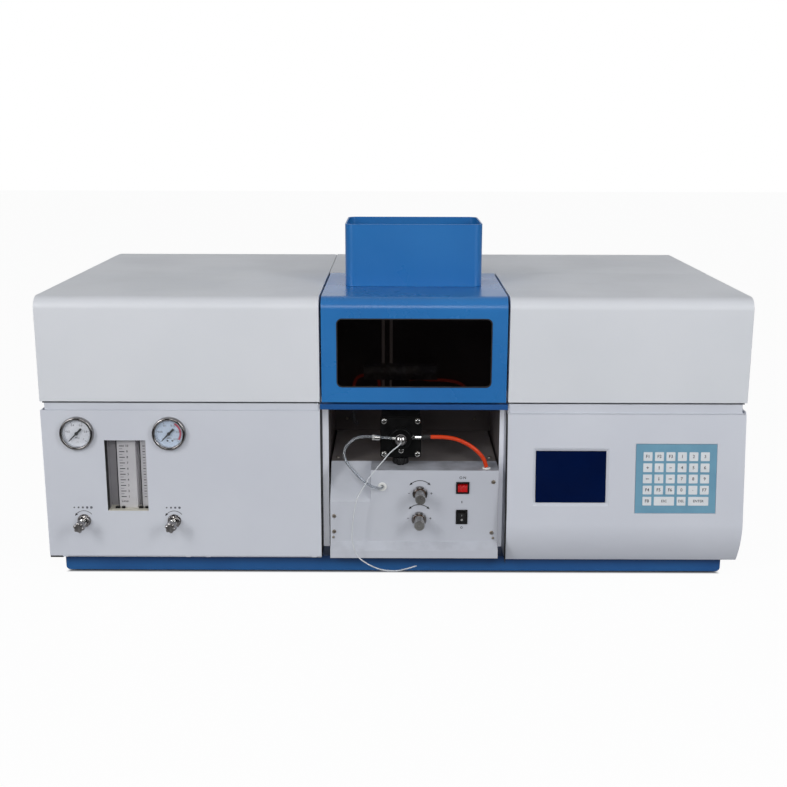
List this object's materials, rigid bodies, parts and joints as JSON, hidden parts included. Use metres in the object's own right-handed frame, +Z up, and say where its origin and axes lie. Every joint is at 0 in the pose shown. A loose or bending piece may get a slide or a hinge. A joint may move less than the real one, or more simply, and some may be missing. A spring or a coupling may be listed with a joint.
{
  "type": "atomic absorption spectrometer",
  "caption": "Bench atomic absorption spectrometer: grey sheet housing on a blue base, lifting flame hood with chimney, burner bay, gas panel and leaning keypad console.",
  "frame": {"origin": "on the bench under the middle of the whole outline", "axes": "+X along the front towards the keypad console, +Y to the back, +Z up"},
  "size_m": [1.02, 0.592, 0.511],
  "materials": {
    "plinth_paint": "blue paint on a cast aluminium tray",
    "panel_paint": "satin grey paint",
    "bay_sheet": "dark heat-stained sheet",
    "cover_paint": "satin light grey paint",
    "display": "dark blue display",
    "keypad_film": "printed blue film",
    "blue_paint": "satin blue paint",
    "tinted_pane": "dark heat-proof glass",
    "chrome": "bright plating",
    "black_enamel": "black paint",
    "clear_block": "clear acrylic",
    "turned_steel": "turned steel",
    "black_plastic": "black moulding",
    "red_plastic": "red moulding",
    "white_plastic": "white moulding",
    "chamber_plastic": "black engineering plastic",
    "titanium": "bead-blasted titanium",
    "clear_tube": "clear soft tube",
    "orange_hose": "orange rubber hose",
    "white_tube": "milky fine tube",
    "dark_metal": "dark anodised aluminium",
    "lamp_glass": "clear glass lamp",
    "bright_aluminium": "turned aluminium",
    "cast_aluminium": "black painted aluminium casting",
    "brass": "machined brass"
  },
  "bodies": {
    "case": {"base_plinth": "plinth_paint", "left_cabinet": "panel_paint", "right_cabinet": "panel_paint", "left_deck": "panel_paint", "right_deck": "panel_paint", "rear_panel": "panel_paint", "burner_bay": "bay_sheet", "burner_tray": "bay_sheet", "gas_box_cover": "cover_paint", "sill_rail": "plinth_paint", "left_front_panel": "panel_paint", "control_console": "panel_paint", "display_module": "display", "keypad_overlay": "keypad_film", "rear_top_cover": "cover_paint", "air_gauge": "chrome", "fuel_gauge": "chrome", "air_flowmeter": "clear_block", "fuel_flowmeter": "clear_block", "air_valve_bonnet": "chrome", "fuel_valve_bonnet": "chrome", "cross_nut": "chrome", "height_nut": "chrome", "igniter_switch_frame": "black_plastic", "mains_switch_frame": "black_plastic", "air_grommet": "white_plastic", "fuel_grommet": "white_plastic", "air_hose": "clear_tube", "fuel_hose": "orange_hose", "lens_tube_left": "bright_aluminium", "lens_tube_right": "bright_aluminium", "monochromator": "cast_aluminium", "gas_inlets": "brass", "mains_inlet": "black_plastic"},
    "hood": {"flame_hood": "blue_paint", "hood_window": "tinted_pane", "chimney": "blue_paint"},
    "lamp_lid": {"lamp_cover": "cover_paint"},
    "monochromator_lid": {"monochromator_cover": "cover_paint"},
    "air_pointer": {"air_gauge_pointer": "black_enamel"},
    "fuel_pointer": {"fuel_gauge_pointer": "black_enamel"},
    "air_flow_float": {"air_float": "black_enamel"},
    "fuel_flow_float": {"fuel_float": "black_enamel"},
    "air_valve": {"air_valve_knob": "chrome"},
    "fuel_valve": {"fuel_valve_knob": "chrome"},
    "cross_adjuster": {"cross_knob": "turned_steel"},
    "height_adjuster": {"height_knob": "turned_steel"},
    "igniter_key": {"igniter_rocker": "red_plastic"},
    "mains_key": {"mains_rocker": "black_plastic"},
    "cross_slide": {"cross_carriage": "turned_steel"},
    "burner_lift": {"lift_column": "turned_steel", "spray_chamber": "chamber_plastic", "nebuliser": "chrome", "fuel_barb": "chrome", "drain_nut": "black_plastic", "burner_head": "titanium", "sample_capillary": "white_tube"},
    "turret": {"lamp_turret": "dark_metal", "lamp_one": "lamp_glass", "lamp_two": "lamp_glass"}
  },
  "joints": [
    {"name": "hood_hinge", "type": "hinge", "parent": "case", "child": "hood", "pos_m": [0.02975, 0.0064, 0.415], "axis": [-1, 0, 0], "range_deg": [0, 75]},
    {"name": "lamp_lid_hinge", "type": "hinge", "parent": "case", "child": "lamp_lid", "pos_m": [-0.308, 0.267, 0.415], "axis": [-1, 0, 0], "range_deg": [0, 70]},
    {"name": "monochromator_lid_hinge", "type": "hinge", "parent": "case", "child": "monochromator_lid", "pos_m": [0.33775, 0.0064, 0.415], "axis": [-1, 0, 0], "range_deg": [0, 75]},
    {"name": "air_pointer_turn", "type": "hinge", "parent": "case", "child": "air_pointer", "pos_m": [-0.4582, -0.2665, 0.2193], "axis": [0, 1, 0], "range_deg": [0, 270], "stiffness_Nm_per_rad": 0.0002},
    {"name": "fuel_pointer_turn", "type": "hinge", "parent": "case", "child": "fuel_pointer", "pos_m": [-0.3245, -0.2665, 0.2193], "axis": [0, 1, 0], "range_deg": [0, 270], "stiffness_Nm_per_rad": 0.0002},
    {"name": "air_float_rise", "type": "slide", "parent": "case", "child": "air_flow_float", "axis": [0, 0, 1], "range_m": [0, 0.092]},
    {"name": "fuel_float_rise", "type": "slide", "parent": "case", "child": "fuel_flow_float", "axis": [0, 0, 1], "range_m": [0, 0.092]},
    {"name": "air_valve_turn", "type": "hinge", "parent": "case", "child": "air_valve", "pos_m": [-0.4557, -0.282, 0.0852], "axis": [0, -1, 0], "range_deg": [0, 1800]},
    {"name": "fuel_valve_turn", "type": "hinge", "parent": "case", "child": "fuel_valve", "pos_m": [-0.3227, -0.282, 0.0852], "axis": [0, -1, 0], "range_deg": [0, 1800]},
    {"name": "cross_adjuster_turn", "type": "hinge", "parent": "case", "child": "cross_adjuster", "pos_m": [0.0395, -0.282, 0.1292], "axis": [0, 1, 0], "range_deg": [-1800, 1800]},
    {"name": "cross_slide_travel", "type": "slide", "parent": "case", "child": "cross_slide", "axis": [0, 1, 0], "range_m": [-0.005, 0.005], "deforming": ["air_hose", "fuel_hose"]},
    {"name": "height_adjuster_turn", "type": "hinge", "parent": "case", "child": "height_adjuster", "pos_m": [0.0384, -0.282, 0.0897], "axis": [0, 1, 0], "range_deg": [0, 65.5]},
    {"name": "burner_lift_travel", "type": "slide", "parent": "cross_slide", "child": "burner_lift", "axis": [0, 0, 1], "range_m": [0, 0.012], "deforming": ["air_hose", "fuel_hose"]},
    {"name": "igniter_press", "type": "hinge", "parent": "case", "child": "igniter_key", "pos_m": [0.102, -0.259, 0.1376], "axis": [1, 0, 0], "range_deg": [-16, 0]},
    {"name": "mains_press", "type": "hinge", "parent": "case", "child": "mains_key", "pos_m": [0.1012, -0.259, 0.0928], "axis": [1, 0, 0], "range_deg": [-16, 0]},
    {"name": "turret_turn", "type": "hinge", "parent": "case", "child": "turret", "pos_m": [-0.3, -0.0855, 0.336], "axis": [1, 0, 0], "continuous": true}
  ],
  "couplings": [
    {"joint": "cross_adjuster_turn", "follows": "cross_slide_travel", "rad_per_m": 6283.2},
    {"joint": "height_adjuster_turn", "follows": "burner_lift_travel", "rad_per_m": 95.238}
  ]
}
